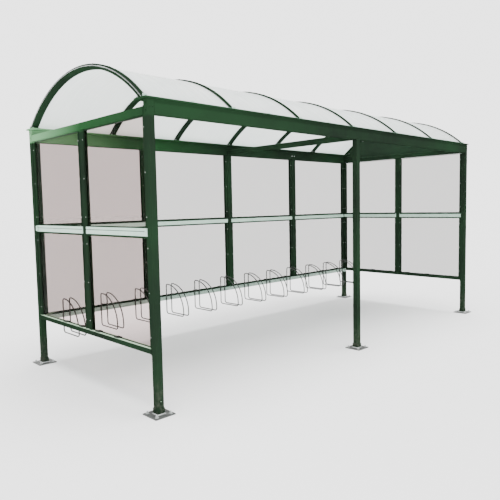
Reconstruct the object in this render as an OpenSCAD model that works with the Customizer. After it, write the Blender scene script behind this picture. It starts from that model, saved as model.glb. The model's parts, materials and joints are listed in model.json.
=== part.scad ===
// Barrel-roofed bicycle shelter: five square posts on bolted base plates, two
// eaves beams, seven arches under translucent sheets, glazed back and ends,
// and a rack of twelve wheel hoops.  +X runs along the shelter, +Y to the back.

/* [Overall] */
// Distance between the centres of the two end posts, along X
bay_run = 4920; // [3600:10:6600]
// Distance between the centres of the front and back posts, along Y
depth = 1948; // [1500:4:2600]
// Height of the top of the eaves beams above the ground
eaves_h = 2250; // [1900:10:2700]
// Rise of the arches above the eaves
rise = 370; // [250:5:480]

/* [Posts] */
// Side of the square posts
post_w = 56; // [46:1:80]
// Side of a square base plate
plate_w = 170; // [140:1:240]
// Thickness of a base plate
plate_t = 8; // [6:1:14]
// Diameter of the anchor holes
anchor_d = 14; // [10:1:18]
// Distance of an anchor hole's centre from the edges of its plate
anchor_inset = 25; // [20:1:32]

/* [Eaves and ties] */
// Height of an eaves beam with its top flange
beam_h = 118; // [100:1:160]
// Thickness of the top flange
flange_t = 12; // [8:1:16]
// How far the top flange stands out from the face of the beam
flange_out = 8; // [6:1:20]
// How far the top flange stands in from the face of the beam, as a ledge
flange_in = 80; // [80:1:110]
// How far the top flange runs on past the end posts
flange_tip = 20; // [0:1:40]
// Height of the set-back strip under the top flange
groove_h = 26; // [16:1:36]
// Depth of the set-back strip
groove_d = 5; // [2:1:10]
// Height of a tie beam
tie_h = 58; // [40:1:80]

/* [Roof] */
// Width of an arch along X
arch_w = 56; // [40:1:80]
// Thickness of an arch across its curve
arch_t = 20; // [16:1:26]
// How far the outer face of an arch foot lies in from the inner face of the beam
arch_inset = 6; // [0:1:20]
// How far the centre of the arches lies behind the middle of the shelter
roof_back = 10; // [0:1:20]
// Thickness of the roof sheets
sheet_t = 6; // [4:1:10]
// Gap between neighbouring roof sheets
sheet_gap = 12; // [6:1:20]
// Width of the cover strips over the sheet joints
strip_w = 34; // [26:1:50]
// Thickness of the cover strips
strip_t = 5; // [3:1:8]
// Thickness of the infill panel in the right-hand gable
gable_t = 3; // [2:1:6]

/* [Walls] */
// Side of the square uprights in the back wall
upright_w = 56; // [40:1:70]
// Width of the middle mullion in an end wall
mullion_w = 60; // [40:1:70]
// Thickness of the middle mullion in an end wall
mullion_t = 30; // [20:1:50]
// Height of the top of the bottom rails above the ground
rail_top = 480; // [400:4:560]
// Height of a bottom rail
rail_h = 40; // [30:1:50]
// Height of the top of the middle rails above the ground
waist_top = 1344; // [1150:4:1500]
// Height of a middle rail
waist_h = 58; // [40:1:80]
// Thickness of a middle rail
waist_t = 40; // [25:1:50]
// Thickness of the glass
glass_t = 6; // [4:1:12]
// Gap between a pane and the bars beside and above it
glass_gap = 4; // [2:1:8]

/* [Rack] */
// Number of wheel hoops
hoops = 12; // [4:2:20]
// Distance of the first hoop's middle from the left end of the rack bar
hoop_end_left = 192; // [60:1:300]
// Distance of the last hoop's middle from the right end of the rack bar
hoop_end_right = 140; // [60:1:300]
// Clear width of the wheel slot between the two loops of a hoop
slot_w = 57; // [45:1:70]
// Diameter of the rod of a loop
rod_d = 12; // [10:1:16]
// Height of the middle of a loop's lowest rod above the ground
hoop_z = 280; // [240:2:340]
// Height of a loop between rod centres
hoop_h = 336; // [260:2:410]
// Reach of a loop from the rack bar between rod centres
hoop_reach = 316; // [240:2:380]
// Radius of the lower corners of a loop
corner_r = 30; // [24:1:40]
// Radius of the upper back corner of a loop
top_r = 26; // [20:1:40]
// Height of the rack bar
bar_h = 40; // [30:1:50]
// Thickness of the rack bar
bar_t = 30; // [20:1:40]
// How far the top of the rack bar lies below the top of the bottom rail
bar_drop = 12; // [0:1:20]
// Weld gap between a loop and the rack bar
weld_gap = 0.3; // [0.1:0.1:0.6]

/* [Hidden] */

roof_bays = 6;
back_bays = 4;
half_l = bay_run / 2;
half_d = depth / 2;
half_p = post_w / 2;
inner_d = half_d - half_p;
under_beam = eaves_h - beam_h;
tie_top = under_beam + tie_h;

// The arches are parts of circles whose centre lies below the eaves.
arch_span = inner_d - arch_inset;
arch_r = (arch_span * arch_span + rise * rise) / (2 * rise);
arch_z = eaves_h + rise - arch_r;
arch_x = [for (i = [0 : roof_bays]) -half_l + i * bay_run / roof_bays];
upright_x = [for (i = [1 : back_bays - 1]) -half_l + i * bay_run / back_bays];

rail_z = rail_top - rail_h;
waist_z = waist_top - waist_h;
back_bar_y = inner_d - bar_t;
bar_l = bay_run - post_w;
hoop_pitch = (bar_l - hoop_end_left - hoop_end_right) / (hoops - 1);
rod_back_y = back_bar_y - rod_d / 2 - weld_gap;
loop_x = (slot_w + rod_d) / 2;

paint = [0.16, 0.29, 0.18];
galv = [0.55, 0.58, 0.57];

// A box between two corners
module block(a, b) {
    translate(a) cube(b - a);
}

// Turns an outline drawn in Y and Z into a slice of thickness t centred at x
module slice(x, t) {
    translate([x - t / 2, 0, 0])
        rotate([90, 0, 90])
            linear_extrude(height = t) children();
}

// Outline between two circles about the roof's centre, above height z
module roof_band(r, t, z) {
    intersection() {
        translate([roof_back, arch_z])
            difference() {
                circle(r = r + t, $fn = 256);
                circle(r = r, $fn = 256);
            }
        translate([-half_d - post_w, z]) square([2 * half_d + 2 * post_w, rise + 100]);
    }
}

// ---- posts ----
module post(x, y, top) {
    color(paint)
        block([x - half_p, y - half_p, plate_t], [x + half_p, y + half_p, top]);
}

module base_plate(x, y) {
    hole = plate_w / 2 - anchor_inset;
    translate([x, y, 0])
        difference() {
            translate([-plate_w / 2, -plate_w / 2, 0]) cube([plate_w, plate_w, plate_t]);
            for (i = [-1, 1], j = [-1, 1])
                translate([i * hole, j * hole, -1])
                    cylinder(d = anchor_d, h = plate_t + 2, $fn = 48);
        }
}

module base_plates() {
    color(galv) {
        for (i = [-1, 1], j = [-1, 1]) base_plate(i * half_l, j * half_d);
        base_plate(0, -half_d);
    }
}

// ---- eaves beams and ties ----
// side is -1 for the front and 1 for the back
module eaves_beam(side) {
    face = side * (half_d + half_p);
    lip = side * (half_d + half_p + flange_out);
    ledge = side * (inner_d - flange_in);
    color(paint)
        difference() {
            union() {
                block([-half_l + half_p, min(side * inner_d, face), under_beam],
                      [half_l - half_p, max(side * inner_d, face), eaves_h - flange_t]);
                block([-half_l - half_p - flange_tip, min(ledge, lip), eaves_h - flange_t],
                      [half_l + half_p + flange_tip, max(ledge, lip), eaves_h]);
            }
            translate([-half_l, face - groove_d, eaves_h - flange_t - groove_h])
                cube([bay_run, 2 * groove_d, groove_h]);
        }
}

module tie_beam(x) {
    color(paint)
        block([x - half_p, -inner_d, under_beam], [x + half_p, inner_d, tie_top]);
}

// ---- roof ----
module arch(i) {
    color(paint) slice(arch_x[i], arch_w) roof_band(arch_r - arch_t, arch_t, eaves_h);
}

module roof_sheet(i) {
    first = i == 0 ? arch_x[0] - arch_w / 2 : arch_x[i] + sheet_gap / 2;
    last = i == roof_bays - 1 ? arch_x[roof_bays] + arch_w / 2 : arch_x[i + 1] - sheet_gap / 2;
    color([0.85, 0.9, 0.88, 0.7])
        slice((first + last) / 2, last - first) roof_band(arch_r, sheet_t, eaves_h);
}

module roof_cover_strips() {
    color(paint)
        for (i = [0 : roof_bays]) {
            x = arch_x[i] + (i == 0 ? -1 : i == roof_bays ? 1 : 0) * (arch_w - strip_w) / 2;
            slice(x, strip_w) roof_band(arch_r + sheet_t, strip_t, eaves_h);
        }
}

module gable_panel_right() {
    color(paint)
        slice(half_l, gable_t)
            difference() {
                intersection() {
                    translate([roof_back, arch_z]) circle(r = arch_r - arch_t, $fn = 256);
                    translate([-inner_d, tie_top]) square([2 * inner_d, rise + beam_h]);
                }
                for (side = [-1, 1])
                    translate([side * inner_d - flange_in, eaves_h - flange_t])
                        square([2 * flange_in, flange_t]);
            }
}

// ---- walls ----
module upright_back(i) {
    x = upright_x[i];
    color(paint)
        block([x - upright_w / 2, half_d - upright_w / 2, rail_top],
              [x + upright_w / 2, half_d + upright_w / 2, under_beam]);
}

module mullion(side) {
    x = side * half_l;
    color(paint)
        block([x - mullion_t / 2, -mullion_w / 2, rail_top],
              [x + mullion_t / 2, mullion_w / 2, under_beam]);
}

module bottom_rail_back() {
    color(paint)
        block([-half_l + half_p, inner_d, rail_z], [half_l - half_p, half_d + half_p, rail_top]);
}

module bottom_rail_end(side) {
    x = side * half_l;
    color(paint)
        block([x - half_p, -inner_d, rail_z], [x + half_p, inner_d, rail_top]);
}

// X positions of the edges of each bay of the back wall, as [from, to]
back_spans = [for (i = [0 : back_bays - 1]) [
    i == 0 ? -half_l + half_p : upright_x[i - 1] + upright_w / 2,
    i == back_bays - 1 ? half_l - half_p : upright_x[i] - upright_w / 2
]];

// Y positions of the edges of each bay of an end wall, as [from, to]
end_spans = [[-inner_d, -mullion_w / 2], [mullion_w / 2, inner_d]];

module middle_rail_back() {
    color([0.78, 0.84, 0.8])
        for (s = back_spans)
            block([s[0], half_d - waist_t / 2, waist_z], [s[1], half_d + waist_t / 2, waist_top]);
}

module middle_rail_end(side) {
    x = side * half_l;
    color([0.78, 0.84, 0.8])
        for (s = end_spans)
            block([x - waist_t / 2, s[0], waist_z], [x + waist_t / 2, s[1], waist_top]);
}

module glass_back(bottom, top) {
    color([0.88, 0.86, 0.86, 0.4])
        for (s = back_spans)
            block([s[0] + glass_gap, half_d - glass_t / 2, bottom],
                  [s[1] - glass_gap, half_d + glass_t / 2, top - glass_gap]);
}

module glass_end(side) {
    x = side * half_l;
    color([0.88, 0.86, 0.86, 0.4])
        for (s = end_spans, z = [[rail_top, waist_z], [waist_top, under_beam]])
            block([x - glass_t / 2, s[0] + glass_gap, z[0]],
                  [x + glass_t / 2, s[1] - glass_gap, z[1] - glass_gap]);
}

// ---- rack ----
module rack_bar() {
    color(galv)
        block([-bar_l / 2, back_bar_y, rail_top - bar_drop - bar_h],
              [bar_l / 2, inner_d, rail_top - bar_drop]);
}

// A bent stretch of rod in the YZ plane, about [y, z], from angle a over 90 degrees
module bend(x, y, z, r, a) {
    translate([x, y, z])
        rotate([90, 0, 90])
            rotate([0, 0, a])
                rotate_extrude(angle = 90, $fn = 96)
                    translate([r, 0]) circle(d = rod_d, $fn = 32);
}

// A straight rod along Y, from y to y + h
module rod_y(x, y, z, h) {
    translate([x, y, z]) rotate([-90, 0, 0]) cylinder(d = rod_d, h = h, $fn = 32);
}

// A straight rod along Z, from z to z + h
module rod_z(x, y, z, h) {
    translate([x, y, z]) cylinder(d = rod_d, h = h, $fn = 32);
}

// One loop: an upright rod at the back, a flat foot and a quarter-round front
module loop(x) {
    sweep_r = min(hoop_reach - top_r, hoop_h - corner_r);
    back_y = rod_back_y;
    front_y = back_y - hoop_reach;
    top_z = hoop_z + hoop_h;
    foot_z = hoop_z + corner_r;
    sweep_z = top_z - sweep_r;
    flat = hoop_reach - top_r - sweep_r;
    color(galv) {
        rod_z(x, back_y, foot_z, hoop_h - corner_r - top_r);
        bend(x, back_y - corner_r, foot_z, corner_r, 270);
        rod_y(x, front_y + corner_r, hoop_z, hoop_reach - 2 * corner_r);
        bend(x, front_y + corner_r, foot_z, corner_r, 180);
        if (sweep_z > foot_z) rod_z(x, front_y, foot_z, sweep_z - foot_z);
        bend(x, front_y + sweep_r, sweep_z, sweep_r, 90);
        if (flat > 0) rod_y(x, front_y + sweep_r, top_z, flat);
        bend(x, back_y - top_r, top_z - top_r, top_r, 0);
    }
}

module wheel_hoops(first, last) {
    for (i = [first : last], s = [-1, 1])
        union() loop(hoop_end_left - bar_l / 2 + i * hoop_pitch + s * loop_x);
}

half_hoops = floor(hoops / 2);

post(-half_l, -half_d, eaves_h - flange_t);  // post_front_left
post(0, -half_d, under_beam);  // post_front_middle
post(half_l, -half_d, eaves_h - flange_t);  // post_front_right
post(-half_l, half_d, eaves_h - flange_t);  // post_back_left
post(half_l, half_d, eaves_h - flange_t);  // post_back_right
base_plates();
eaves_beam(-1);  // eaves_beam_front
eaves_beam(1);  // eaves_beam_back
tie_beam(-half_l);  // tie_beam_left
tie_beam(0);  // tie_beam_middle
tie_beam(half_l);  // tie_beam_right
arch(0);  // arch_1
arch(1);  // arch_2
arch(2);  // arch_3
arch(3);  // arch_4
arch(4);  // arch_5
arch(5);  // arch_6
arch(6);  // arch_7
roof_sheet(0);  // roof_sheet_1
roof_sheet(1);  // roof_sheet_2
roof_sheet(2);  // roof_sheet_3
roof_sheet(3);  // roof_sheet_4
roof_sheet(4);  // roof_sheet_5
roof_sheet(5);  // roof_sheet_6
roof_cover_strips();
gable_panel_right();
upright_back(0);  // upright_back_1
upright_back(1);  // upright_back_2
upright_back(2);  // upright_back_3
mullion(-1);  // mullion_left
mullion(1);  // mullion_right
bottom_rail_back();
bottom_rail_end(-1);  // bottom_rail_left
bottom_rail_end(1);  // bottom_rail_right
middle_rail_back();
middle_rail_end(-1);  // middle_rail_left
middle_rail_end(1);  // middle_rail_right
glass_back(rail_top, waist_z);  // glass_back_lower
glass_back(waist_top, under_beam);  // glass_back_upper
glass_end(-1);  // glass_left
glass_end(1);  // glass_right
rack_bar();
wheel_hoops(0, half_hoops - 1);  // wheel_hoops_left
wheel_hoops(half_hoops, hoops - 1);  // wheel_hoops_right
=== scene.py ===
import json
import math
from collections import namedtuple

import bmesh
import bpy
from mathutils import Matrix, Vector


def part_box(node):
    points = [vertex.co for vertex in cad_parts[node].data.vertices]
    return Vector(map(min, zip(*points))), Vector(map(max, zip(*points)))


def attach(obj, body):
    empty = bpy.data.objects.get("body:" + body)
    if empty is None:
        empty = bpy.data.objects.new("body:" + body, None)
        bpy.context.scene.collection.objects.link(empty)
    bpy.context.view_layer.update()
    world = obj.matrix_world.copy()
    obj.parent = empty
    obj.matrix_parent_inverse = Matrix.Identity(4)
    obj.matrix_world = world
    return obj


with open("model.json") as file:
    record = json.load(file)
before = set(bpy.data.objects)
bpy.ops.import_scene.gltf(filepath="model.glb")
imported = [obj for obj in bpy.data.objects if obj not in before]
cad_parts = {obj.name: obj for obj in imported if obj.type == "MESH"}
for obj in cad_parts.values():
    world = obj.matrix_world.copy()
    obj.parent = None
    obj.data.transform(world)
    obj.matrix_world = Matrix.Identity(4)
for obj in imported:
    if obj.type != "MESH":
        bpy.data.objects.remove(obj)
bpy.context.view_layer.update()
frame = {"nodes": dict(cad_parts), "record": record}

NODES = frame["nodes"]
RECORD = frame["record"]
MM = 0.001
SIDES = (-1, 1)
X = Vector((1, 0, 0))
Y = Vector((0, 1, 0))
Z = Vector((0, 0, 1))

# ---- places read from the frame ----
POST_LOW, POST_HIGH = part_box("post_front_left")
POST_W = POST_HIGH.x - POST_LOW.x
HALF_L = -(POST_LOW.x + POST_HIGH.x) / 2
HALF_D = -(POST_LOW.y + POST_HIGH.y) / 2
PLATE_T = POST_LOW.z
UNDER_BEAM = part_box("post_front_middle")[1].z
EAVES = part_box("eaves_beam_front")[1].z
RAIL_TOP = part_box("bottom_rail_back")[1].z
WAIST_LOW, WAIST_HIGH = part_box("middle_rail_back")
WAIST_HALF = (WAIST_HIGH.y - WAIST_LOW.y) / 2
WAIST_MID = (WAIST_LOW.z + WAIST_HIGH.z) / 2
POSTS = {
    "front_left": Vector((-HALF_L, -HALF_D, 0)),
    "front_middle": Vector((0, -HALF_D, 0)),
    "front_right": Vector((HALF_L, -HALF_D, 0)),
    "back_left": Vector((-HALF_L, HALF_D, 0)),
    "back_right": Vector((HALF_L, HALF_D, 0)),
}
UPRIGHTS = ("upright_back_1", "upright_back_2", "upright_back_3")
ARCHES = sorted(name for name in NODES if name.startswith("arch_"))
ARCH_MIDDLES = [(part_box(name)[0].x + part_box(name)[1].x) / 2 for name in ARCHES]

# ---- camera ----
CAMERA_AT = (-4.609, -4.171, 1.486)
CAMERA_YAW = math.radians(44.06)
CAMERA_PITCH = math.radians(-4.64)
CAMERA_ROLL = math.radians(-1.125)
CAMERA_LENS = 38.89
CAMERA_SIGHT = 200


def add_camera():
    """The photograph's point of view, from a camera fitted to the shelter's posts, rails and arches."""
    forward = Vector((math.sin(CAMERA_YAW) * math.cos(CAMERA_PITCH),
                      math.cos(CAMERA_YAW) * math.cos(CAMERA_PITCH),
                      math.sin(CAMERA_PITCH)))
    level = Vector((math.cos(CAMERA_YAW), -math.sin(CAMERA_YAW), 0))
    over = level.cross(forward)
    right = math.cos(CAMERA_ROLL) * level + math.sin(CAMERA_ROLL) * over
    up = math.cos(CAMERA_ROLL) * over - math.sin(CAMERA_ROLL) * level
    turn = Matrix((right, up, -forward)).transposed().to_4x4()
    camera = bpy.data.objects.new("camera", bpy.data.cameras.new("camera"))
    camera.data.lens = CAMERA_LENS
    camera.data.clip_end = CAMERA_SIGHT
    camera.matrix_world = Matrix.Translation(CAMERA_AT) @ turn
    bpy.context.scene.collection.objects.link(camera)
    bpy.context.scene.camera = camera


# ---- node helpers ----
class Nodes:
    """Short calls for building one material's node tree."""

    def __init__(self, name):
        self.material = bpy.data.materials.new(name)
        self.material.use_nodes = True
        self.tree = self.material.node_tree
        self.tree.nodes.clear()
        self.place = self.add("ShaderNodeTexCoord").outputs["Object"]

    def add(self, kind, **inputs):
        node = self.tree.nodes.new(kind)
        for key, value in inputs.items():
            self.put(node.inputs[key.replace("_", " ")], value)
        return node

    def put(self, socket, value):
        if isinstance(value, bpy.types.NodeSocket):
            self.tree.links.new(value, socket)
        else:
            socket.default_value = value

    def stretch(self, scale):
        node = self.add("ShaderNodeMapping", Vector=self.place)
        node.inputs["Scale"].default_value = scale
        return node.outputs["Vector"]

    def noise(self, scale, detail=3.0, vector=None):
        node = self.add("ShaderNodeTexNoise", Vector=vector or self.place, Scale=scale, Detail=detail)
        return node.outputs["Fac"]

    def cells(self, scale):
        colour = self.add("ShaderNodeTexVoronoi", Vector=self.place, Scale=scale).outputs["Color"]
        return self.add("ShaderNodeSeparateColor", Color=colour).outputs[0]

    def math(self, operation, a, b):
        node = self.add("ShaderNodeMath")
        node.operation = operation
        self.put(node.inputs[0], a)
        self.put(node.inputs[1], b)
        return node.outputs[0]

    def range(self, value, given, wanted):
        """Carries a value from one range to another, held at the ends."""
        node = self.add("ShaderNodeMapRange", Value=value)
        node.inputs["From Min"].default_value = given[0]
        node.inputs["From Max"].default_value = given[1]
        node.inputs["To Min"].default_value = wanted[0]
        node.inputs["To Max"].default_value = wanted[1]
        return node.outputs["Result"]

    def mix(self, factor, a, b):
        node = self.add("ShaderNodeMix")
        node.data_type = "RGBA"
        self.put(node.inputs["Factor"], factor)
        self.put(node.inputs[6], a)
        self.put(node.inputs[7], b)
        return node.outputs[2]

    def bump(self, height, strength, distance):
        node = self.add("ShaderNodeBump", Height=height, Strength=strength, Distance=distance)
        return node.outputs["Normal"]

    def along(self, axis):
        return self.add("ShaderNodeSeparateXYZ", Vector=self.place).outputs[axis]

    def facing_up(self):
        normal = self.add("ShaderNodeNewGeometry").outputs["Normal"]
        return self.add("ShaderNodeSeparateXYZ", Vector=normal).outputs["Z"]

    def away_from(self, point):
        node = self.add("ShaderNodeVectorMath")
        node.operation = "DISTANCE"
        self.put(node.inputs[0], self.place)
        self.put(node.inputs[1], point)
        return node.outputs["Value"]

    def principled(self, **sockets):
        return self.add("ShaderNodeBsdfPrincipled", **sockets).outputs[0]

    def blend(self, factor, a, b):
        node = self.add("ShaderNodeMixShader")
        self.put(node.inputs[0], factor)
        self.put(node.inputs[1], a)
        self.put(node.inputs[2], b)
        return node.outputs[0]

    def done(self, shader):
        self.add("ShaderNodeOutputMaterial", Surface=shader)
        return self.material


def rgb(red, green, blue):
    return (red, green, blue, 1.0)


# ---- materials ----
# A BAND is the part of a noise that is used; a SHARE, a ROUGH and a TINT are what it is turned into.
# Scales are per metre.  A LEVEL is the specular level of a shader.
OFF_ON = (0.0, 1.0)
ON_OFF = (1.0, 0.0)

CLOUD_SCALE = 1.7
CLOUD_BAND = (0.35, 0.68)
STREAK_SCALE = 26.0
STREAK_STRETCH = (1.0, 1.0, 0.05)
STREAK_BAND = (0.5, 0.78)
STREAK_SHARE = (0.0, 0.35)
DUST = rgb(0.10, 0.10, 0.08)
DUST_HEIGHT = (0.02, 0.3)
DUST_SHARE = (0.5, 0.0)
SPECKLE_SCALE = 34.0
SPECKLE_BAND = (0.38, 0.7)
SHEEN_SCALE = 9.0
SHEEN_BAND = (0.3, 0.7)
COAT_ROUGH = (0.34, 0.5)
COAT_LEVEL = 0.0
PEEL_SCALE = 520.0
PEEL_STRENGTH = 0.12
PEEL_DEPTH = 0.4 * MM


def painted_steel(name, colour, pale, top_highlight):
    """Powder coat: cloudy colour, orange peel, streaks, dust near the ground, a painted highlight on
    upward faces and a painted corner sheen.
    """
    n = Nodes(name)
    clouds = n.range(n.noise(CLOUD_SCALE, detail=4.0), CLOUD_BAND, OFF_ON)
    streak_noise = n.noise(STREAK_SCALE, vector=n.stretch(STREAK_STRETCH))
    coat = n.mix(clouds, colour, pale)
    coat = n.mix(n.range(streak_noise, STREAK_BAND, STREAK_SHARE), coat, pale)
    # painted highlight on faces that look up
    coat = paint_top_highlights(n, coat, colour, top_highlight)
    # painted sheen near the back left corner of the eaves
    coat = paint_corner_sheen(n, coat)
    speckle = n.range(n.noise(SPECKLE_SCALE, detail=5.0), SPECKLE_BAND, OFF_ON)
    dust = n.math("MULTIPLY", n.range(n.along("Z"), DUST_HEIGHT, DUST_SHARE), speckle)
    rough = n.range(n.noise(SHEEN_SCALE, detail=4.0), SHEEN_BAND, COAT_ROUGH)
    peel = n.bump(n.noise(PEEL_SCALE, detail=2.0), PEEL_STRENGTH, PEEL_DEPTH)
    return n.done(n.principled(Base_Color=n.mix(dust, coat, DUST), Roughness=rough,
                               Specular_IOR_Level=COAT_LEVEL, Normal=peel))


# Painted highlight: pale colour on faces that look up, and a paler one on the tops of the left-hand
# bottom rail.
PAINTED_TOP_HIGHLIGHT = rgb(0.22, 0.36, 0.24)
PAINTED_RAIL_TOP_HIGHLIGHT = rgb(0.40, 0.56, 0.40)
PAINTED_RAIL_HIGHLIGHT_SPAN = (0.1 - HALF_L, 0.12 - HALF_L)
UPWARD_BAND = (0.75, 0.98)
LOW_TOPS = (0.5, 0.6)


def paint_top_highlights(n, coat, colour, top_highlight):
    """Painted highlight: faces that look up are painted pale high up and on the left-hand bottom rail,
    and keep the dark coat on other rails.
    """
    painted_top_share = n.range(n.facing_up(), UPWARD_BAND, (0.0, top_highlight))
    coat = n.mix(painted_top_share, coat, PAINTED_TOP_HIGHLIGHT)
    low = n.range(n.along("Z"), LOW_TOPS, ON_OFF)
    low_top = n.math("MULTIPLY", low, n.math("GREATER_THAN", painted_top_share, 0.0))
    on_left_rail = n.range(n.along("X"), PAINTED_RAIL_HIGHLIGHT_SPAN, ON_OFF)
    return n.mix(low_top, coat, n.mix(on_left_rail, colour, PAINTED_RAIL_TOP_HIGHLIGHT))


# Painted sheen: pale green painted close to the back left corner of the eaves, mid green further along
# the beams.
PAINTED_SHEEN_NEAR = rgb(0.20, 0.42, 0.22)
PAINTED_SHEEN_FAR = rgb(0.022, 0.085, 0.028)
PAINTED_SHEEN_CORNER = POSTS["back_left"] + Z * EAVES
CORNER_SHEEN_FOOT = (UNDER_BEAM - 20 * MM, UNDER_BEAM)
CORNER_SHEEN_HEAD = (EAVES, EAVES + 10 * MM)
CORNER_SHEEN_WIDE = (0.5, 2.4)
CORNER_SHEEN_CLOSE = (0.1, 1.0)
CORNER_SHEEN_CLOSE_SHARE = (0.75, 0.0)


def paint_corner_sheen(n, coat):
    """Painted sheen: the beams are painted paler towards the back left corner of the eaves."""
    above = n.range(n.along("Z"), CORNER_SHEEN_FOOT, OFF_ON)
    level = n.math("MULTIPLY", above, n.range(n.along("Z"), CORNER_SHEEN_HEAD, ON_OFF))
    distance = n.away_from(PAINTED_SHEEN_CORNER)
    wide = n.math("MULTIPLY", level, n.range(distance, CORNER_SHEEN_WIDE, ON_OFF))
    close = n.math("MULTIPLY", level, n.range(distance, CORNER_SHEEN_CLOSE, CORNER_SHEEN_CLOSE_SHARE))
    return n.mix(close, n.mix(wide, coat, PAINTED_SHEEN_FAR), PAINTED_SHEEN_NEAR)


BLOOM_SCALE = 7.0
BLOOM_BAND = (0.42, 0.72)
BLOOM_SHARE = (0.0, 0.6)
SPANGLE_ROUGH = (0.3, 0.5)
RIPPLE_SCALE = 160.0
RIPPLE_STRENGTH = 0.15
RIPPLE_DEPTH = 0.5 * MM


def galvanised_steel(name, colour, pale, metal, grain):
    """Hot-dip zinc: crystal spangle in the colour and the gloss, dull white bloom in patches."""
    n = Nodes(name)
    spangle = n.cells(grain)
    bloom = n.range(n.noise(BLOOM_SCALE, detail=5.0), BLOOM_BAND, BLOOM_SHARE)
    zinc = n.mix(bloom, n.mix(spangle, colour, pale), pale)
    return n.done(n.principled(Base_Color=zinc, Metallic=metal,
                               Roughness=n.range(spangle, OFF_ON, SPANGLE_ROUGH),
                               Normal=n.bump(n.noise(RIPPLE_SCALE), RIPPLE_STRENGTH, RIPPLE_DEPTH)))


GLASS_GLOSS = rgb(0.55, 0.55, 0.54)
GLASS_ROUGH = 0.03
GLASS_LEVEL = 0.5
FILM_SCALE = 3.2
FILM_BAND = (0.4, 0.75)
FILM_SHARE = (0.0, 0.01)
MIRROR_IOR = 1.2
MIRROR_CUT = 0.05


def window_glass(name, tint):
    """Toughened glass: a light tint at each surface, a mirror at low angles and a faint film of dust."""
    n = Nodes(name)
    clear = n.add("ShaderNodeBsdfTransparent", Color=tint).outputs[0]
    gloss = n.principled(Base_Color=GLASS_GLOSS, Roughness=GLASS_ROUGH, Specular_IOR_Level=GLASS_LEVEL)
    film = n.range(n.noise(FILM_SCALE, detail=6.0), FILM_BAND, FILM_SHARE)
    entering = n.math("SUBTRACT", 1.0, n.add("ShaderNodeNewGeometry").outputs["Backfacing"])
    low_angle = n.math("SUBTRACT", n.add("ShaderNodeFresnel", IOR=MIRROR_IOR).outputs[0], MIRROR_CUT)
    mirror = n.math("MULTIPLY", low_angle, entering)
    return n.done(n.blend(n.math("MAXIMUM", film, mirror), clear, gloss))


FLUTE_SCALE = 95.0
FLUTE_STRETCH = (1.0, 0.02, 0.02)
FLUTE_BAND = (0.3, 0.7)
FLUTE_STRENGTH = 0.1
FLUTE_DEPTH = 0.6 * MM
HAZE_SCALE = 2.4
HAZE_BAND = (0.35, 0.7)
OPAL_DULL = rgb(0.93, 0.97, 0.96)
OPAL_BRIGHT = rgb(0.97, 0.99, 0.98)
OPAL_ROUGH = (0.2, 0.32)
OPAL_LEVEL = 0.5
GLOW_SHARE = 0.5
CLEAR_TINT = rgb(0.95, 0.98, 0.97)
CLEAR_SHARE = (0.22, 0.16)


def roof_plastic():
    """Opal sheet: a little of the light goes straight through, the rest is spread on both sides."""
    n = Nodes("opal_sheet")
    flute_noise = n.noise(FLUTE_SCALE, detail=1.0, vector=n.stretch(FLUTE_STRETCH))
    flutes = n.range(flute_noise, FLUTE_BAND, OFF_ON)
    haze = n.range(n.noise(HAZE_SCALE, detail=4.0), HAZE_BAND, OFF_ON)
    tint = n.mix(haze, OPAL_DULL, OPAL_BRIGHT)
    face = n.principled(Base_Color=tint, Roughness=n.range(flutes, OFF_ON, OPAL_ROUGH),
                        Specular_IOR_Level=OPAL_LEVEL,
                        Normal=n.bump(flutes, FLUTE_STRENGTH, FLUTE_DEPTH))
    glow = n.add("ShaderNodeBsdfTranslucent", Color=tint).outputs[0]
    clear = n.add("ShaderNodeBsdfTransparent", Color=CLEAR_TINT).outputs[0]
    return n.done(n.blend(n.range(haze, OFF_ON, CLEAR_SHARE), n.blend(GLOW_SHARE, face, glow), clear))


FLOOR_SCALE = 6.0
FLOOR_DARK = rgb(0.84, 0.84, 0.84)
FLOOR_PALE = rgb(0.86, 0.86, 0.86)
FLOOR_ROUGH = 0.9
FLOOR_LEVEL = 0.1


def floor_paint():
    """Matt, nearly even light grey."""
    n = Nodes("pale_floor")
    grain = n.mix(n.noise(FLOOR_SCALE, detail=5.0), FLOOR_DARK, FLOOR_PALE)
    return n.done(n.principled(Base_Color=grain, Roughness=FLOOR_ROUGH, Specular_IOR_Level=FLOOR_LEVEL))


RUBBER_SCALE = 40.0
RUBBER_DARK = rgb(0.012, 0.020, 0.015)
RUBBER_GREY = rgb(0.030, 0.042, 0.033)
WIPED_SCALE = 15.0
WIPED_BAND = (0.3, 0.7)
RUBBER_ROUGH = (0.5, 0.75)
RUBBER_LEVEL = 0.2
PORE_SCALE = 700.0
PORE_STRENGTH = 0.1
PORE_DEPTH = 0.3 * MM


def seal_rubber():
    """Black-green glazing rubber, slightly greyed."""
    n = Nodes("seal_rubber")
    tone = n.mix(n.noise(RUBBER_SCALE, detail=4.0), RUBBER_DARK, RUBBER_GREY)
    rough = n.range(n.noise(WIPED_SCALE), WIPED_BAND, RUBBER_ROUGH)
    pores = n.bump(n.noise(PORE_SCALE), PORE_STRENGTH, PORE_DEPTH)
    return n.done(n.principled(Base_Color=tone, Roughness=rough, Specular_IOR_Level=RUBBER_LEVEL,
                               Normal=pores))


COAT_DARK = rgb(0.012, 0.020, 0.0135)
COAT_PALE = rgb(0.014, 0.034, 0.017)
# top_highlight sets how strong the painted highlight on upward faces is; the cover strips get none.
GREEN = painted_steel("green_coat", COAT_DARK, COAT_PALE, top_highlight=0.8)
STRIP_GREEN = painted_steel("strip_coat", COAT_DARK, COAT_PALE, top_highlight=0.0)
# Painted light: a lighter copy of the green coat for the gable panel, which is the same green paint as
# the frame.
GABLE_GREEN_PAINTED_LIGHT = painted_steel("gable_coat_painted_light", rgb(0.018, 0.030, 0.020), rgb(0.020, 0.042, 0.024), top_highlight=0.8)
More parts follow.
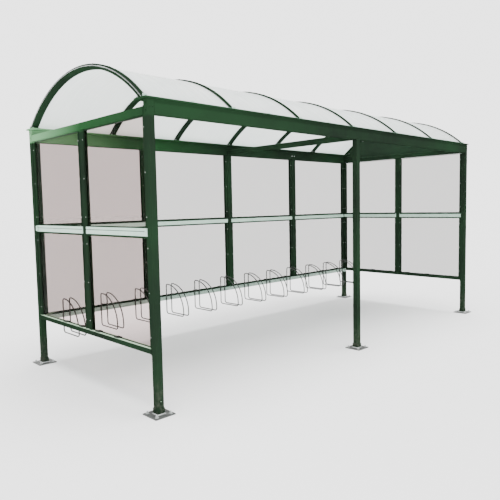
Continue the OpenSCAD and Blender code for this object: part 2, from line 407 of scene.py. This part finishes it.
# Galvanised rack bar: grey zinc, with a painted reflection of the green frame in its colour.
ZINC_PAINTED_REFLECTION = galvanised_steel("zinc_bar_painted_reflection", rgb(0.22, 0.33, 0.27), rgb(0.34, 0.46, 0.39), metal=0.25, grain=60.0)
HOOP_ZINC = galvanised_steel("zinc_hoop", rgb(0.018, 0.021, 0.019), rgb(0.05, 0.056, 0.05),
                             metal=0.4, grain=90.0)
STEEL = galvanised_steel("fixing_steel", rgb(0.30, 0.32, 0.31), rgb(0.50, 0.52, 0.51),
                         metal=0.5, grain=220.0)
PLATE_ZINC = galvanised_steel("zinc_plate", rgb(0.04, 0.044, 0.042), rgb(0.09, 0.095, 0.09),
                              metal=0.4, grain=80.0)
PALE = galvanised_steel("pale_aluminium", rgb(0.40, 0.60, 0.49), rgb(0.52, 0.71, 0.60),
                        metal=0.2, grain=140.0)
RUBBER = seal_rubber()
GREY_GLASS = window_glass("grey_glass", rgb(0.69, 0.685, 0.68))
ROSE_GLASS = window_glass("rose_glass", rgb(0.80, 0.735, 0.725))
OPAL = roof_plastic()

FINISHES = (
    (GREEN, ("post_", "eaves_", "tie_", "arch_", "upright_", "mullion_", "bottom_")),
    (GABLE_GREEN_PAINTED_LIGHT, ("gable_",)),
    (PALE, ("middle_",)),
    (STRIP_GREEN, ("roof_cover",)),
    (ZINC_PAINTED_REFLECTION, ("rack_",)),
    (HOOP_ZINC, ("wheel_",)),
    (PLATE_ZINC, ("base_",)),
    (GREY_GLASS, ("glass_back", "glass_right")),
    (ROSE_GLASS, ("glass_left",)),
    (OPAL, ("roof_sheet",)),
)


def finish_frame():
    """Gives every node of the frame its material."""
    for name, piece in NODES.items():
        for material, starts in FINISHES:
            if name.startswith(starts):
                piece.data.materials.clear()
                piece.data.materials.append(material)


# ---- mesh helpers ----
BLOCK_STEPS = 2
ROUND_PROFILE = 0.5
BEAD_NEAR = 0.42
BEAD_FAR = 0.82
LEAST_MITRE = 0.3
LATHE_SIDES = 16
WASHER_SIDES = 20
STUD_SIDES = 12
HEX_SIDES = 6
SHARP = 35
SHARP_HEX = 25
SHARP_SCREW = 30
SHARP_WELD = 60


def facing(at, direction):
    """A place at a point whose own Z looks along a direction."""
    return Matrix.Translation(at) @ Vector(direction).to_track_quat("Z", "Y").to_matrix().to_4x4()


def add_block(shape, one, other, round_by):
    """A box between two opposite corners, with its edges rounded."""
    size = [abs(a - b) for a, b in zip(one, other)]
    place = Matrix.Translation((one + other) / 2) @ Matrix.Diagonal((*size, 1))
    made = bmesh.ops.create_cube(shape, size=1, matrix=place)["verts"]
    edges = list({edge for vert in made for edge in vert.link_edges})
    bmesh.ops.bevel(shape, geom=edges, offset=round_by, segments=BLOCK_STEPS,
                    profile=ROUND_PROFILE, affect="EDGES")


def add_lathe(shape, place, profile, sides):
    """A turned solid: profile points are (radius, height) about the place's own Z."""
    rings = []
    for radius, height in profile:
        turns = [2 * math.pi * i / sides for i in range(sides if radius else 1)]
        points = [Vector((radius * math.cos(t), radius * math.sin(t), height)) for t in turns]
        rings.append([shape.verts.new(place @ point) for point in points])
    for below, above in zip(rings, rings[1:]):
        for i in range(sides):
            j = (i + 1) % sides
            if len(above) == 1:
                shape.faces.new((below[i], below[j], above[0]))
            else:
                shape.faces.new((below[i], below[j], above[j], above[i]))
    shape.faces.new(rings[0])


def add_sweep(shape, path, section, normal, closed=False):
    """A section of (sideways, along the normal) points carried along a path, mitred at its corners."""
    count = len(path)
    rings = []
    for i, point in enumerate(path):
        into = point - path[i - 1] if closed or i else path[1] - point
        out = path[(i + 1) % count] - point if closed or i < count - 1 else into
        side_in = into.normalized().cross(normal)
        side = (side_in + out.normalized().cross(normal)).normalized()
        widen = 1 / max(LEAST_MITRE, side.dot(side_in))
        rings.append([shape.verts.new(point + side * (a * widen) + normal * b) for a, b in section])
    for i in range(count if closed else count - 1):
        below, above = rings[i], rings[(i + 1) % count]
        for j in range(len(section)):
            k = (j + 1) % len(section)
            shape.faces.new((below[j], below[k], above[k], above[j]))
    if not closed:
        shape.faces.new(rings[0])
        shape.faces.new(rings[-1])


def loop_round(middle, across, up, half_across, half_up, normal):
    """The corners of a rectangle, ordered so that a sweep's sideways is outwards for this normal."""
    across, up = across * half_across, up * half_up
    loop = [middle - across - up, middle + across - up, middle + across + up, middle - across + up]
    if across.cross(up).dot(normal) < 0:
        loop.reverse()
    return loop


def quarter_round(size):
    """The section of a weld bead in a corner."""
    near, far = BEAD_NEAR * size, BEAD_FAR * size
    return [(0, 0), (size, 0), (far, near), (near, far), (0, size)]


def shapes(count):
    """New empty shapes, one for each piece that a function makes."""
    return [bmesh.new() for _ in range(count)]


def make_piece(name, shape, material, sharp=SHARP):
    """Turns a finished shape into a piece that rides on the shelter."""
    bmesh.ops.recalc_face_normals(shape, faces=shape.faces)
    mesh = bpy.data.meshes.new(name)
    shape.to_mesh(mesh)
    shape.free()
    mesh.shade_smooth()
    mesh.set_sharp_from_angle(angle=math.radians(sharp))
    mesh.materials.append(material)
    piece = bpy.data.objects.new(name, mesh)
    bpy.context.scene.collection.objects.link(piece)
    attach(piece, "root")


# ---- fixings ----
BUTTON_PROFILE = ((1, 0), (1, 0.16), (0.86, 0.42), (0.55, 0.6), (0.32, 0.64), (0.3, 0.34), (0, 0.34))
WASHER_PROFILE = ((1.2, 0), (1.2, 0.16), (1.1, 0.2), (0, 0.2))
HEXAGON_PROFILE = ((0.9, 0.2), (0.9, 0.85), (0.78, 0.93), (0, 0.93))
STUD_START = 0.85
STUD_CHAMFER = 0.1


def add_hex_bolt(shape, at, direction, thread, stud=0.0):
    """Washer and chamfered hexagon; stud is how far a threaded end stands out of the nut."""
    place = facing(at, direction)
    for outline, sides in ((WASHER_PROFILE, WASHER_SIDES), (HEXAGON_PROFILE, HEX_SIDES)):
        profile = [(radius * thread, height * thread) for radius, height in outline]
        add_lathe(shape, place, profile, sides)
    if stud:
        head = STUD_START * thread
        top = head + stud
        chamfer = STUD_CHAMFER * thread
        half = thread / 2
        add_lathe(shape, place, [(half, head), (half, top - chamfer), (half - chamfer, top), (0, top)],
                  STUD_SIDES)


def add_button(shape, at, direction, size):
    """A domed screw head with a socket."""
    outline = [(radius * size, height * size) for radius, height in BUTTON_PROFILE]
    add_lathe(shape, facing(at, direction), outline, LATHE_SIDES)


# ---- feet ----
ANCHOR_THREAD = 12 * MM
ANCHOR_STUD = 9 * MM
COLLAR_T = 3 * MM
COLLAR_H = 46 * MM
COLLAR_SECTION = ((0, 0), (COLLAR_T, 0), (COLLAR_T, COLLAR_H - COLLAR_T), (0, COLLAR_H))
FOOT_WELD = 6 * MM
FOOT_BOLT_Z = 96 * MM
FOOT_THREAD = 8 * MM


def add_anchor_nuts():
    """A nut on a stud at each anchor hole of the base plates."""
    nuts = bmesh.new()
    for mount in RECORD["mounts"]:
        if mount["kind"] == "bolt_pattern":
            reach = mount["dims"]["spacing_x_mm"] * MM / 2
            for side in SIDES:
                for end in SIDES:
                    at = Vector(mount["pos_m"]) + Vector((side * reach, end * reach, PLATE_T))
                    add_hex_bolt(nuts, at, Z, ANCHOR_THREAD, ANCHOR_STUD)
    make_piece("anchor_nuts", nuts, STEEL, SHARP_HEX)


def add_feet():
    """A collar, a weld and a through bolt at the foot of each post."""
    collars, welds, bolts = shapes(3)
    half = POST_W / 2
    for middle in POSTS.values():
        foot = middle + Z * PLATE_T
        add_sweep(collars, loop_round(foot, X, Y, half, half, Z), COLLAR_SECTION, Z, closed=True)
        outer = half + COLLAR_T
        weld_line = loop_round(foot, X, Y, outer, outer, Z)
        add_sweep(welds, weld_line, quarter_round(FOOT_WELD), Z, closed=True)
        out = Y * math.copysign(1, middle.y)
        add_hex_bolt(bolts, middle + out * half + Z * FOOT_BOLT_Z, out, FOOT_THREAD)
    make_piece("foot_collars", collars, GREEN)
    make_piece("foot_welds", welds, STEEL, SHARP_WELD)
    make_piece("foot_bolts", bolts, GREEN, SHARP_HEX)


# ---- steel joints ----
JOINT_WELD = 4 * MM
JOINT_THREAD = 8 * MM
BUTTON_R = 7 * MM
SMALL_BUTTON_R = 4 * MM
POST_BOLT_DROPS = (42 * MM, 92 * MM)
BEAM_BOLT_DROP = 66 * MM
BEAM_BOLT_STEP = 14 * MM
UPRIGHT_SCREW_STEP = 24 * MM
UPRIGHT_SCREW_DROP = 12 * MM
WELDED_BARS = (
    ("tie_beam_left", 1), ("tie_beam_middle", 1), ("tie_beam_right", 1),
    ("bottom_rail_back", 0), ("bottom_rail_left", 1), ("bottom_rail_right", 1),
    *((name, 2) for name in UPRIGHTS), ("mullion_left", 2), ("mullion_right", 2),
)


def bar_ends(name, axis):
    """Each end of a straight bar: its middle, the way in, and both directions across with half sizes."""
    low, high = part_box(name)
    half = (high - low) / 2
    directions = (X, Y, Z)
    others = [k for k in range(3) if k != axis]
    for side in SIDES:
        end = (low + high) / 2 + directions[axis] * side * half[axis]
        yield end, directions[axis] * -side, *(directions[k] for k in others), *(half[k] for k in others)


def add_joint_welds():
    beads = bmesh.new()
    for name, axis in WELDED_BARS:
        for end, inward, across, up, half_across, half_up in bar_ends(name, axis):
            loop = loop_round(end, across, up, half_across, half_up, inward)
            add_sweep(beads, loop, quarter_round(JOINT_WELD), inward, closed=True)
    make_piece("joint_welds", beads, GREEN, SHARP_WELD)


def add_upright_screws():
    """A pair of bright screws in the back beam over each upright."""
    screws = bmesh.new()
    inner_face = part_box("tie_beam_left")[1].y
    height = (UNDER_BEAM + EAVES) / 2 - UPRIGHT_SCREW_DROP
    for name in UPRIGHTS:
        low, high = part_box(name)
        for side in SIDES:
            at = Vector(((low.x + high.x) / 2 + side * UPRIGHT_SCREW_STEP, inner_face, height))
            add_button(screws, at, -Y, BUTTON_R)
    make_piece("upright_screws", screws, STEEL, SHARP_HEX)


def add_joint_bolts():
    """Painted bolts where the corner posts meet the beams and where the mullions meet their ties."""
    bolts = bmesh.new()
    for wall in ("left", "right"):
        low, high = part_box(f"mullion_{wall}")
        tie_low, tie_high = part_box(f"tie_beam_{wall}")
        for face, out in ((tie_low.x, -X), (tie_high.x, X)):
            at = Vector((face, (low.y + high.y) / 2, (tie_low.z + tie_high.z) / 2))
            add_button(bolts, at, out, BUTTON_R)
    for middle in POSTS.values():
        if middle.x:
            out = X * math.copysign(1, middle.x)
            for drop in POST_BOLT_DROPS:
                add_hex_bolt(bolts, middle + out * POST_W / 2 + Z * (EAVES - drop), out, JOINT_THREAD)
            out = Y * math.copysign(1, middle.y)
            for side in SIDES:
                at = middle + out * POST_W / 2 + X * side * BEAM_BOLT_STEP + Z * (EAVES - BEAM_BOLT_DROP)
                add_button(bolts, at, out, BUTTON_R)
    make_piece("joint_bolts", bolts, GREEN, SHARP_HEX)


# ---- glazing ----
EDGE_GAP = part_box("glass_back_lower")[0].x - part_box("post_back_left")[1].x
GASKET_LAP = 5 * MM
GASKET_T = 2 * MM
GASKET_SECTION = ((-GASKET_LAP, 0), (0, 0), (0, GASKET_T), (-0.7 * GASKET_LAP, GASKET_T),
                  (-GASKET_LAP, 0.6 * GASKET_T))
BEAD_W = 26 * MM
MULLION_BEAD_W = 16 * MM
BEAD_OUT = 20 * MM
BEAD_ROUND = 1.5 * MM
BEAD_SCREWS = (-0.8, 0.0, 0.8)
SETTING_L = 62 * MM
SETTING_W = 14 * MM
SETTING_H = 7 * MM
SETTING_OUT = 11 * MM
SETTING_ROUND = 1.5 * MM
SETTING_SHARES = (0.12, 0.45)
Pane = namedtuple("Pane", "wall middle along out half_w half_h half_t")


def wall_gaps():
    """Each gap that holds panes: wall, its two axes, the outer side, both ends, both faces of glass."""
    low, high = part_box("glass_back_lower")
    bars = [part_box(name) for name in ("post_back_left", *UPRIGHTS, "post_back_right")]
    for left, right in zip(bars, bars[1:]):
        yield "back", X, Y, 1, left[1].x + EDGE_GAP, right[0].x - EDGE_GAP, low.y, high.y
    for wall, side in (("left", -1), ("right", 1)):
        low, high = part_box(f"glass_{wall}")
        mullion_low, mullion_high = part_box(f"mullion_{wall}")
        yield wall, Y, X, side, low.y, mullion_low.y - EDGE_GAP, low.x, high.x
        yield wall, Y, X, side, mullion_high.y + EDGE_GAP, high.y, low.x, high.x


def panes(rows=("lower", "upper")):
    """Every pane of the chosen rows, with its middle, its directions and its half sizes."""
    for row in rows:
        row_low, row_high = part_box(f"glass_back_{row}")
        row_middle = Z * (row_low.z + row_high.z) / 2
        for wall, along, axis, side, start, end, near, far in wall_gaps():
            middle = along * (start + end) / 2 + axis * (near + far) / 2 + row_middle
            yield Pane(wall, middle, along, axis * side,
                       (end - start) / 2, (row_high.z - row_low.z) / 2, (far - near) / 2)


def meets_mullion(pane, edge):
    """Whether this edge of an end wall's pane stands at the mullion and not at a post."""
    return pane.wall != "back" and edge * pane.middle.y < 0


def add_bead(beads, screws, pane, normal, edge):
    """A square bar that holds one upright edge of a pane, with its screws."""
    width = MULLION_BEAD_W if meets_mullion(pane, edge) else BEAD_W
    fixed_side = pane.middle + pane.along * edge * (pane.half_w + EDGE_GAP)
    free_side = fixed_side - pane.along * edge * width
    height = Z * pane.half_h
    add_block(beads, fixed_side + normal * (pane.half_t + GASKET_T) - height,
              free_side + normal * BEAD_OUT + height, BEAD_ROUND)
    for share in BEAD_SCREWS:
        at = (fixed_side + free_side) / 2 + normal * BEAD_OUT + height * share
        add_button(screws, at, normal, SMALL_BUTTON_R)


def add_glazing():
    """A rubber gasket round both faces of every pane, and glazing beads along its upright edges."""
    for wall in ("back", "left", "right"):
        seals, beads, screws = shapes(3)
        for pane in panes():
            if pane.wall == wall:
                for side in SIDES:
                    normal = pane.out * side
                    face = pane.middle + normal * pane.half_t
                    loop = loop_round(face, pane.along, Z, pane.half_w, pane.half_h, normal)
                    add_sweep(seals, loop, GASKET_SECTION, normal, closed=True)
                    for edge in SIDES:
                        add_bead(beads, screws, pane, normal, edge)
        make_piece(f"glass_seals_{wall}", seals, RUBBER, SHARP)
        make_piece(f"glazing_beads_{wall}", beads, GREEN)
        make_piece(f"glass_screws_{wall}", screws, STEEL, SHARP_SCREW)


def add_setting_blocks():
    """Rubber packers on the bottom rails, on both faces of the panes that stand on them."""
    blocks = bmesh.new()
    for pane in panes(rows=("lower",)):
        inwards = 1 if pane.wall == "back" else -math.copysign(1, pane.middle.y)
        reach = pane.along * SETTING_L / 2 + pane.out * SETTING_W / 2
        for share in SETTING_SHARES:
            at = pane.middle + pane.along * inwards * pane.half_w * (1 - 2 * share)
            at.z = RAIL_TOP
            for side in SIDES:
                middle = at + pane.out * side * (pane.half_t + SETTING_OUT)
                add_block(blocks, middle - reach, middle + reach + Z * SETTING_H, SETTING_ROUND)
    make_piece("setting_blocks", blocks, RUBBER)


# ---- middle rails ----
SEAL_GAP = 4 * MM
UPPER_SEAL = (SEAL_GAP, WAIST_HALF - 6 * MM, WAIST_HIGH.z, WAIST_HIGH.z + 8 * MM)
LOWER_SEAL_Z = (WAIST_LOW.z - 15 * MM, WAIST_LOW.z)
SEAM_SHARE = 0.6
SEAM_Z = WAIST_LOW.z + SEAM_SHARE * (WAIST_HIGH.z - WAIST_LOW.z)
SEAM_HALF = 2 * MM
WAIST_STRIPS = (
    UPPER_SEAL,
    (-UPPER_SEAL[0], -UPPER_SEAL[1], *UPPER_SEAL[2:]),
    (SEAL_GAP, WAIST_HALF - 3 * MM, *LOWER_SEAL_Z),
    (-SEAL_GAP, -WAIST_HALF - 1 * MM, *LOWER_SEAL_Z),
    (-WAIST_HALF, -WAIST_HALF - 2 * MM, WAIST_HIGH.z - 15 * MM, WAIST_HIGH.z + 2 * MM),
    (WAIST_HALF, WAIST_HALF + 1 * MM, SEAM_Z - SEAM_HALF, SEAM_Z + SEAM_HALF),
)
STRIP_ROUND = 0.5 * MM
BRACKET_NEAR = WAIST_HALF - 1 * MM
BRACKET_FAR = POST_W / 2 + 3 * MM
BRACKET_HALF_H = 24 * MM
BRACKET_ROUND = 1.2 * MM
BRACKET_PAST = 3 * MM
BRACKET_BEFORE = 26 * MM
BRACKET_SCREW_BACK = 10 * MM


def add_bracket(brackets, screws, pane, edge):
    """A pale plate over one end of a middle rail, on the wall's outer face."""
    way = pane.along * edge
    end = Vector((pane.middle.x, pane.middle.y, WAIST_MID)) + way * pane.half_w
    add_block(brackets, end + way * BRACKET_PAST + pane.out * BRACKET_NEAR - Z * BRACKET_HALF_H,
              end - way * BRACKET_BEFORE + pane.out * BRACKET_FAR + Z * BRACKET_HALF_H, BRACKET_ROUND)
    add_button(screws, end - way * BRACKET_SCREW_BACK + pane.out * BRACKET_FAR, pane.out, SMALL_BUTTON_R)


def add_waist_details():
    """Dark seals along the middle rails, a seam on their outer faces, and brackets at the end posts."""
    seals, brackets, screws = shapes(3)
    for pane in panes(rows=("lower",)):
        middle = Vector((pane.middle.x, pane.middle.y, 0))
        start, end = (middle + pane.along * edge * pane.half_w for edge in SIDES)
        for near, far, bottom, top in WAIST_STRIPS:
            add_block(seals, start + pane.out * near + Z * bottom,
                      end + pane.out * far + Z * top, STRIP_ROUND)
        for edge in SIDES:
            if pane.wall != "back" and not meets_mullion(pane, edge):
                add_bracket(brackets, screws, pane, edge)
    make_piece("waist_seals", seals, STRIP_GREEN)
    make_piece("waist_brackets", brackets, PALE)
    make_piece("waist_screws", screws, STEEL, SHARP_SCREW)


# ---- roof ----
FOOT_CLEARANCE = 2 * MM
ARC_STEPS = 49
STRIP_W = 34 * MM
BATTEN_W = 22 * MM
BATTEN_H = 8 * MM
BATTEN_TOP_HALF = 0.4 * BATTEN_W
BATTEN_SECTION = ((0, -BATTEN_W / 2), (-BATTEN_H, -BATTEN_TOP_HALF), (-BATTEN_H, BATTEN_TOP_HALF),
                  (0, BATTEN_W / 2))
LIP_W = 3 * MM
LIP_TOP_SHARE = 0.6
LIP_H = 4.5 * MM
STRIP_SCREWS = 9
STRIP_SCREW_START = 30 * MM
STRIP_BUTTON_R = 5 * MM
CAP_T = 5 * MM
CAP_H = 26 * MM
CAP_SIDE = 2 * MM
SOLE_FAR = 62 * MM
SOLE_NEAR = 34 * MM
SOLE_HALF_W = 40 * MM
SOLE_T = 5 * MM
SOLE_BOLT_STEP = 26 * MM
SOLE_BOLT_IN = 13 * MM
SOLE_THREAD = 6 * MM
ROOF_ROUND = 1.5 * MM


def circle_of(name):
    """Centre (y, z) and outer radius of a curved roof piece, from its box."""
    low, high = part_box(name)
    half, rise = (high.y - low.y) / 2, high.z - low.z
    radius = (half * half + rise * rise) / (2 * rise)
    return (low.y + high.y) / 2, high.z - radius, radius


def arc_points(x, centre_y, centre_z, radius, base, count):
    """Points on a circle of the roof from front to back, above a height."""
    reach = math.acos((base - centre_z) / radius)
    turns = [reach * (2 * i / (count - 1) - 1) for i in range(count)]
    return [Vector((x, centre_y + radius * math.sin(t), centre_z + radius * math.cos(t))) for t in turns]


def foot_of(circle, side):
    """Where a circle of the roof meets the eaves on one side."""
    centre_y, centre_z, radius = circle
    return centre_y + side * math.sqrt(radius ** 2 - (EAVES - centre_z) ** 2)


def strip_middles():
    """The middle of each cover strip: over its arch, but flush with the roof at both ends."""
    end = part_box("roof_cover_strips")[1].x - STRIP_W / 2
    return [-end, *ARCH_MIDDLES[1:-1], end]


def add_strip_details():
    """Battens, rubber lips, screws and end caps of the strips that cover the joints of the roof."""
    battens, lips, screws, caps = shapes(4)
    circle = circle_of("roof_cover_strips")
    centre_y, centre_z, strip_r = circle
    sheet_r = circle_of("roof_sheet_2")[2]
    for middle in strip_middles():
        line = arc_points(middle, centre_y, centre_z, strip_r, EAVES + FOOT_CLEARANCE, ARC_STEPS)
        add_sweep(battens, line, BATTEN_SECTION, X)
        for point in arc_points(middle, centre_y, centre_z, strip_r + BATTEN_H,
                                EAVES + STRIP_SCREW_START, STRIP_SCREWS):
            add_button(screws, point, point - Vector((middle, centre_y, centre_z)), STRIP_BUTTON_R)
        for side in SIDES:
            line = arc_points(middle + side * STRIP_W / 2, centre_y, centre_z, sheet_r,
                              EAVES + FOOT_CLEARANCE, ARC_STEPS)
            width = side * LIP_W
            add_sweep(lips, line, ((0, 0), (0, width), (-LIP_H, LIP_TOP_SHARE * width), (-LIP_H, 0)), X)
            half_cap = X * (STRIP_W / 2 + CAP_SIDE)
            foot = Vector((middle, foot_of(circle, side), EAVES))
            add_block(caps, foot - half_cap, foot + half_cap + Y * side * CAP_T + Z * CAP_H, ROOF_ROUND)
    make_piece("strip_battens", battens, STRIP_GREEN)
    make_piece("strip_lips", lips, RUBBER)
    make_piece("strip_screws", screws, STRIP_GREEN, SHARP_SCREW)
    make_piece("strip_end_caps", caps, PALE)


def add_arch_feet():
    """A bolted sole plate inside both ends of every arch."""
    soles, bolts = shapes(2)
    low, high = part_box(ARCHES[0])
    for x in ARCH_MIDDLES:
        for side, foot_y in ((-1, low.y), (1, high.y)):
            far = Vector((x, foot_y - side * SOLE_FAR, EAVES))
            near = Vector((x, foot_y - side * SOLE_NEAR, EAVES + SOLE_T))
            add_block(soles, far - X * SOLE_HALF_W, near + X * SOLE_HALF_W, ROOF_ROUND)
            for step in SIDES:
                at = far + Vector((step * SOLE_BOLT_STEP, side * SOLE_BOLT_IN, SOLE_T))
                add_hex_bolt(bolts, at, Z, SOLE_THREAD)
    make_piece("arch_feet", soles, GREEN)
    make_piece("arch_foot_bolts", bolts, STEEL, SHARP_HEX)


PROFILE_INSET = 24 * MM
# in millimetres: away from the sheet and up
PROFILE_SECTION = ((-1, 0), (4, 0), (4, 8), (2, 18), (-2, 18))
CLIP_HALF_W = 16 * MM
CLIP_NEAR = 3 * MM
CLIP_FAR = 34 * MM
CLIP_T = 4 * MM
CLIP_H = 24 * MM
CLIP_ROUND = 1.2 * MM
CLIP_SCREW = 21 * MM
CLIP_BUTTON_R = 6 * MM


def add_sheet_edges():
    """A pale profile along both feet of each sheet, and an angle clip at the middle of each bay."""
    profiles, clips, screws = shapes(3)
    circle = circle_of("roof_sheet_2")
    for left, right in zip(ARCH_MIDDLES, ARCH_MIDDLES[1:]):
        for side in SIDES:
            foot_y = foot_of(circle, side)
            path = [Vector((x, foot_y, EAVES)) for x in (left + PROFILE_INSET, right - PROFILE_INSET)]
            add_sweep(profiles, path, [(side * a * MM, b * MM) for a, b in PROFILE_SECTION], Z)
            foot = Vector(((left + right) / 2, foot_y, EAVES))
            near = foot + Y * side * CLIP_NEAR
            half = X * CLIP_HALF_W
            add_block(clips, near - half, foot + half + Y * side * CLIP_FAR + Z * CLIP_T, CLIP_ROUND)
            add_block(clips, near - half, near + half + Y * side * CLIP_T + Z * CLIP_H, CLIP_ROUND)
            add_button(screws, foot + Y * side * CLIP_SCREW + Z * CLIP_T, Z, CLIP_BUTTON_R)
    make_piece("sheet_edge_profiles", profiles, PALE)
    make_piece("sheet_clips", clips, PALE)
    make_piece("sheet_clip_screws", screws, STEEL, SHARP_SCREW)


GABLE_RIVETS = 13
RIVET_INSET = 42 * MM
RIVET_START = 20 * MM


def add_gable_rivets():
    """Rivets round the infill panel of the right-hand gable, on both of its faces."""
    rivets = bmesh.new()
    low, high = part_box("gable_panel_right")
    centre_y, centre_z, arch_r = circle_of(ARCHES[-1])
    radius = arch_r - RIVET_INSET
    for face, out in ((low.x, -X), (high.x, X)):
        for point in arc_points(face, centre_y, centre_z, radius, EAVES + RIVET_START, GABLE_RIVETS):
            add_button(rivets, point, out, SMALL_BUTTON_R)
    make_piece("gable_rivets", rivets, STEEL, SHARP_SCREW)


# ---- rack ----
ROD_R = 6 * MM
ROD_WELD = 4 * MM
ROD_WELD_SIDE = 0.8 * ROD_R
RACK_THREAD = 7 * MM
RACK_BRACKET_L = 46 * MM
RACK_BRACKET_T = 4 * MM
RACK_BRACKET_OVER = 5 * MM
RACK_BRACKET_THREAD = 9 * MM
RACK_BRACKET_ROUND = 1.5 * MM


def add_rod_welds(beads, rod_x, low, high):
    """A bead down each side of a rod where it lies on the rack bar."""
    for side in SIDES:
        x = rod_x + side * ROD_WELD_SIDE
        path = [Vector((x, low.y, z)) for z in (low.z + ROD_WELD, high.z - ROD_WELD)]
        add_sweep(beads, path, ((0, 0), (-ROD_WELD, 0), (0, side * ROD_WELD)), X)


def add_rack_details():
    """Welds along every rod, a bolt between the loops of each hoop, and the bar's end brackets."""
    beads, bolts, brackets = shapes(3)
    low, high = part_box("rack_bar")
    mid_z = (low.z + high.z) / 2
    for opening in RECORD["physics"]["openings"]:
        if opening["name"].startswith("wheel_slot"):
            start, end = (corner[0] for corner in opening["box_m"])
            add_rod_welds(beads, start - ROD_R, low, high)
            add_rod_welds(beads, end + ROD_R, low, high)
            add_hex_bolt(bolts, Vector(((start + end) / 2, low.y, mid_z)), -Y, RACK_THREAD)
    for side in SIDES:
        tip = Vector((side * high.x, low.y, low.z - RACK_BRACKET_OVER))
        root = Vector((side * (high.x - RACK_BRACKET_L), low.y - RACK_BRACKET_T,
                       high.z + RACK_BRACKET_OVER))
        add_block(brackets, tip, root, RACK_BRACKET_ROUND)
        at = Vector(((tip.x + root.x) / 2, root.y, mid_z))
        add_hex_bolt(bolts, at, -Y, RACK_BRACKET_THREAD)
    make_piece("rod_welds", beads, HOOP_ZINC, SHARP_WELD)
    make_piece("rack_bolts", bolts, STEEL, SHARP_HEX)
    make_piece("rack_brackets", brackets, ZINC_PAINTED_REFLECTION)


# ---- rolled edges ----
ROLLED_EDGES = (("post_", 4 * MM), ("tie_", 4 * MM), ("upright_", 4 * MM), ("mullion_", 3 * MM),
                ("bottom_", 3 * MM), ("middle_", 2 * MM), ("rack_", 3 * MM))
WELD_REACH = 0.01 * MM
EDGE_STEPS = 2
EDGE_ANGLE = math.radians(40)


def soften_edges():
    """Small rounded edges on the square bars, as rolled tube has."""
    for name, node in NODES.items():
        for start, radius in ROLLED_EDGES:
            if name.startswith(start):
                node.modifiers.new("joined", "WELD").merge_threshold = WELD_REACH
                bevel = node.modifiers.new("rolled_edges", "BEVEL")
                bevel.width = radius
                bevel.segments = EDGE_STEPS
                bevel.limit_method = "ANGLE"
                bevel.angle_limit = EDGE_ANGLE
                bevel.harden_normals = True


# ---- stage ----
SKY_LIGHT = 2.1
SUN_LIGHT = 6.3
SUN_ANGLE = math.radians(50)
SUN_FROM = Vector((0.05, -0.12, 1.0))
FLOOR_SHARE = 0.95
FLOOR_HALF = 90
FLOOR_CELLS = 8


def add_world():
    """Soft sky light; the camera itself sees a backdrop as bright as the far floor."""
    world = bpy.data.worlds.new("studio")
    bpy.context.scene.world = world
    world.use_nodes = True
    tree = world.node_tree
    tree.nodes.clear()
    light = tree.nodes.new("ShaderNodeBackground")
    light.inputs["Strength"].default_value = SKY_LIGHT
    backdrop = tree.nodes.new("ShaderNodeBackground")
    sun_on_floor = SUN_LIGHT * SUN_FROM.normalized().z / math.pi
    backdrop.inputs["Strength"].default_value = FLOOR_SHARE * (SKY_LIGHT + sun_on_floor)
    path = tree.nodes.new("ShaderNodeLightPath")
    choose = tree.nodes.new("ShaderNodeMixShader")
    output = tree.nodes.new("ShaderNodeOutputWorld")
    tree.links.new(path.outputs["Is Camera Ray"], choose.inputs[0])
    tree.links.new(light.outputs[0], choose.inputs[1])
    tree.links.new(backdrop.outputs[0], choose.inputs[2])
    tree.links.new(choose.outputs[0], output.inputs["Surface"])


def add_stage():
    """A broad soft sun and a wide pale floor."""
    sun = bpy.data.objects.new("soft_key", bpy.data.lights.new("soft_key", "SUN"))
    sun.data.energy = SUN_LIGHT
    sun.data.angle = SUN_ANGLE
    sun.rotation_euler = SUN_FROM.to_track_quat("Z", "Y").to_euler()
    bpy.context.scene.collection.objects.link(sun)
    shape = bmesh.new()
    bmesh.ops.create_grid(shape, x_segments=FLOOR_CELLS, y_segments=FLOOR_CELLS, size=FLOOR_HALF)
    mesh = bpy.data.meshes.new("floor")
    shape.to_mesh(mesh)
    shape.free()
    mesh.materials.append(floor_paint())
    floor = bpy.data.objects.new("floor", mesh)
    bpy.context.scene.collection.objects.link(floor)


add_camera()
add_world()
add_stage()
finish_frame()
soften_edges()
add_anchor_nuts()
add_feet()
add_joint_welds()
add_upright_screws()
add_joint_bolts()
add_glazing()
add_setting_blocks()
add_waist_details()
add_strip_details()
add_arch_feet()
add_sheet_edges()
add_gable_rivets()
add_rack_details()
